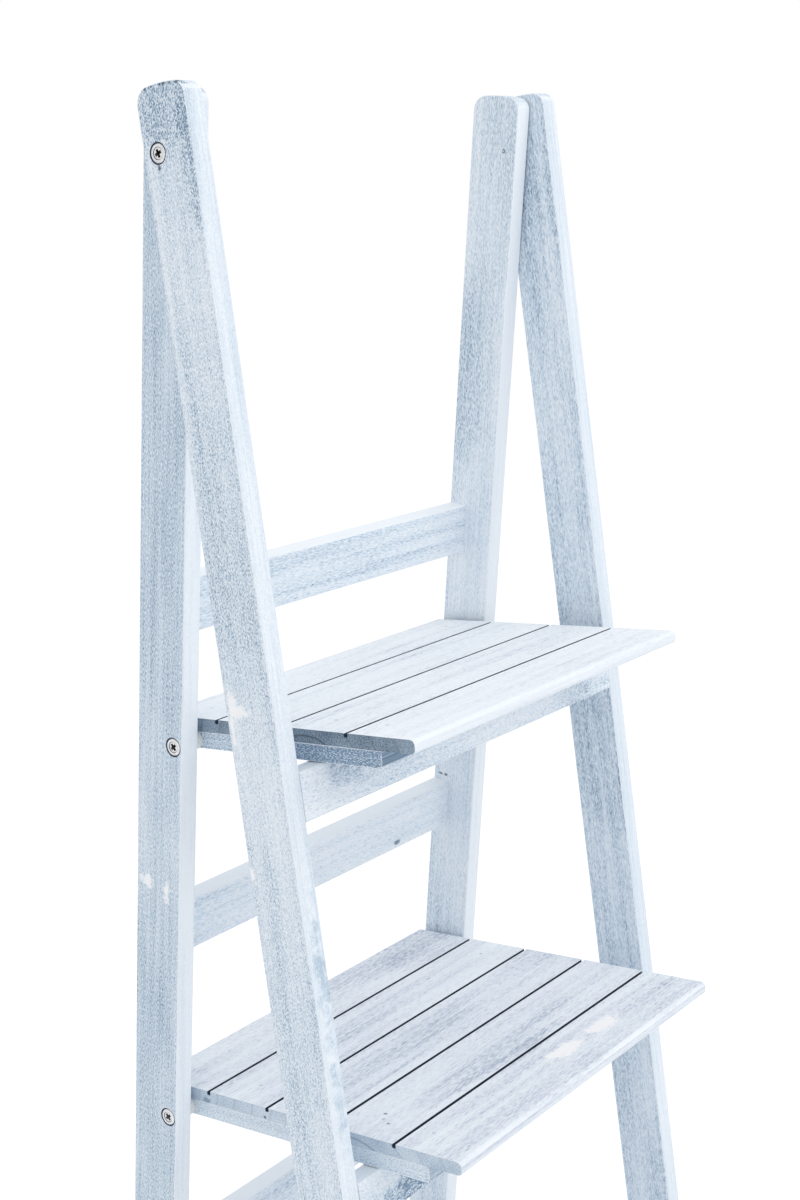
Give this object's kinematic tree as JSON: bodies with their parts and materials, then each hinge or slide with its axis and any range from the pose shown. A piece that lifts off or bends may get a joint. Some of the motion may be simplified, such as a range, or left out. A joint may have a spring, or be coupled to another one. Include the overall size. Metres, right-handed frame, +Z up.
{
  "type": "folding plant ladder stand",
  "caption": "Folding ladder stand for plants: hinged front and rear board frames carry grooved board shelves that grow deeper downwards and swing up so that the frames close flat.",
  "frame": {"origin": "middle of the bounding box at floor level", "axes": "+X to the right seen from the front, -Y towards the front, +Z up"},
  "size_m": [0.337, 0.315, 1.0003],
  "materials": {
    "leg_wood": "whitewashed softwood, thin milky wash over blue-grey grain, matt",
    "front_rail_wood": "whitewashed softwood, thin milky wash over blue-grey grain, matt",
    "rear_rail_wood": "whitewashed softwood, thin milky wash over blue-grey grain, matt",
    "shelf_wood": "whitewashed softwood, denser pale wash with grey-lavender streaks, matt",
    "cleat_wood": "whitewashed softwood, thin wash that leaves the blue-grey stain dark, matt",
    "dowel_wood": "bare beech",
    "screw_steel": "bright zinc-plated steel",
    "washer_steel": "zinc-plated steel",
    "spacer_nylon": "natural nylon, satin",
    "brad_steel": "dull steel under thin wash"
  },
  "bodies": {
    "rear_frame": {"rear_leg_left": "leg_wood", "rear_leg_right": "leg_wood", "rear_rail_top": "rear_rail_wood", "rear_rail_middle": "rear_rail_wood", "rear_rail_bottom": "rear_rail_wood", "rear_frame_dowels": "dowel_wood", "top_pivot_screws": "screw_steel", "top_pivot_washers": "washer_steel"},
    "front_frame": {"front_leg_left": "leg_wood", "front_leg_right": "leg_wood", "front_rail_top": "front_rail_wood", "front_rail_middle": "front_rail_wood", "front_rail_bottom": "front_rail_wood", "front_frame_dowels": "dowel_wood"},
    "top_shelf": {"top_shelf_board": "shelf_wood", "top_shelf_cleat_left": "cleat_wood", "top_shelf_cleat_right": "cleat_wood", "top_shelf_screws": "screw_steel", "top_shelf_spacers": "spacer_nylon", "top_shelf_brads": "brad_steel"},
    "middle_shelf": {"middle_shelf_board": "shelf_wood", "middle_shelf_cleat_left": "cleat_wood", "middle_shelf_cleat_right": "cleat_wood", "middle_shelf_screws": "screw_steel", "middle_shelf_spacers": "spacer_nylon", "middle_shelf_brads": "brad_steel"},
    "bottom_shelf": {"bottom_shelf_board": "shelf_wood", "bottom_shelf_cleat_left": "cleat_wood", "bottom_shelf_cleat_right": "cleat_wood", "bottom_shelf_screws": "screw_steel", "bottom_shelf_spacers": "spacer_nylon", "bottom_shelf_brads": "brad_steel"}
  },
  "joints": [
    {"name": "frame_fold", "type": "hinge", "parent": "rear_frame", "child": "front_frame", "pos_m": [0, -0.05098, 0.96399], "axis": [1, 0, 0], "range_deg": [0, 13]},
    {"name": "top_shelf_lift", "type": "hinge", "parent": "rear_frame", "child": "top_shelf", "pos_m": [0, 0.00746, 0.64123], "axis": [-1, 0, 0], "range_deg": [0, 79.3]},
    {"name": "middle_shelf_lift", "type": "hinge", "parent": "rear_frame", "child": "middle_shelf", "pos_m": [0, 0.05208, 0.40511], "axis": [-1, 0, 0], "range_deg": [0, 79.3]},
    {"name": "bottom_shelf_lift", "type": "hinge", "parent": "rear_frame", "child": "bottom_shelf", "pos_m": [0, 0.1056, 0.12182], "axis": [-1, 0, 0], "range_deg": [0, 79.3]}
  ],
  "couplings": [
    {"joint": "top_shelf_lift", "follows": "frame_fold", "ratio": 6.1},
    {"joint": "middle_shelf_lift", "follows": "frame_fold", "ratio": 6.1},
    {"joint": "bottom_shelf_lift", "follows": "frame_fold", "ratio": 6.1}
  ]
}
